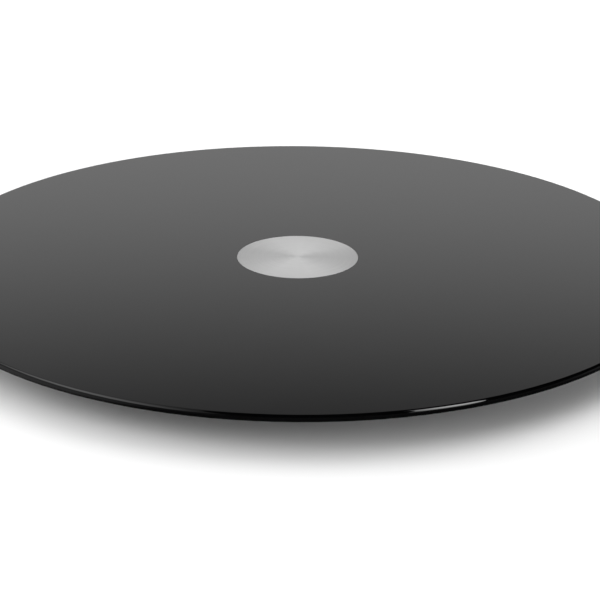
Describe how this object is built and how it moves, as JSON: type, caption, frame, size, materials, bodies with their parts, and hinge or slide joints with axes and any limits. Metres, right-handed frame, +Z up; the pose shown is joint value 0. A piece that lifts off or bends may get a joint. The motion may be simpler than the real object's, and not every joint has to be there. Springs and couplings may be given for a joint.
{
  "type": "glass turntable",
  "caption": "Low round turntable with a black glass top, a brushed metal hub and a hidden ball-bearing base, for turning work by hand.",
  "frame": {"origin": "on the turning axis, in the plane of the floor under the feet", "axes": "+Z up along the turning axis; +X and +Y are equal, with a foot, a pad and a rivet on +X"},
  "size_m": [0.46, 0.46, 0.0227],
  "materials": {
    "black_glass": "polished, opaque black body tint",
    "hub_aluminium": "turned with fine circular brushing",
    "seat_rubber": "matt black",
    "carrier_steel": "zinc plated sheet",
    "race_steel": "pressed, ground and oiled",
    "ball_steel": "polished",
    "cage_nylon": "natural moulded nylon",
    "washer_nylon": "natural nylon, turned",
    "spindle_steel": "ground",
    "clip_steel": "phosphated spring steel",
    "bush_bronze": "sintered bronze, oil filled",
    "housing_aluminium": "die cast",
    "base_paint": "black powder coat, fine texture",
    "trim_aluminium": "satin, brushed round",
    "screw_zinc": "bright zinc plated",
    "cap_plastic": "black moulded",
    "foot_rubber": "matt black"
  },
  "bodies": {
    "base": {"base_plate": "base_paint", "trim_ring": "trim_aluminium", "trim_screws": "screw_zinc", "lower_race": "race_steel", "lower_race_rivets": "screw_zinc", "bush_housing": "housing_aluminium", "housing_screws": "screw_zinc", "bush": "bush_bronze", "bottom_cap": "cap_plastic", "foot_screws": "screw_zinc", "foot_1": "foot_rubber", "foot_2": "foot_rubber", "foot_3": "foot_rubber", "foot_4": "foot_rubber", "foot_5": "foot_rubber", "foot_6": "foot_rubber"},
    "turntable": {"glass_plate": "black_glass", "hub": "hub_aluminium", "hub_gasket": "seat_rubber", "carrier_plate": "carrier_steel", "hub_screws": "screw_zinc", "upper_race": "race_steel", "upper_race_rivets": "screw_zinc", "spindle": "spindle_steel", "circlip": "clip_steel", "thrust_washer": "washer_nylon", "pad_1": "seat_rubber", "pad_2": "seat_rubber", "pad_3": "seat_rubber", "pad_4": "seat_rubber", "pad_5": "seat_rubber", "pad_6": "seat_rubber"},
    "cage": {"ball_cage": "cage_nylon", "ball_1": "ball_steel", "ball_2": "ball_steel", "ball_3": "ball_steel", "ball_4": "ball_steel", "ball_5": "ball_steel", "ball_6": "ball_steel", "ball_7": "ball_steel", "ball_8": "ball_steel", "ball_9": "ball_steel", "ball_10": "ball_steel", "ball_11": "ball_steel", "ball_12": "ball_steel", "ball_13": "ball_steel", "ball_14": "ball_steel", "ball_15": "ball_steel", "ball_16": "ball_steel", "ball_17": "ball_steel", "ball_18": "ball_steel", "ball_19": "ball_steel", "ball_20": "ball_steel"}
  },
  "joints": [
    {"name": "turntable_spin", "type": "hinge", "parent": "base", "child": "turntable", "pos_m": [0, 0, 0.0117], "axis": [0, 0, 1], "continuous": true},
    {"name": "cage_spin", "type": "hinge", "parent": "base", "child": "cage", "pos_m": [0, 0, 0.0117], "axis": [0, 0, 1], "continuous": true}
  ],
  "couplings": [
    {"joint": "cage_spin", "follows": "turntable_spin", "ratio": 0.5}
  ]
}
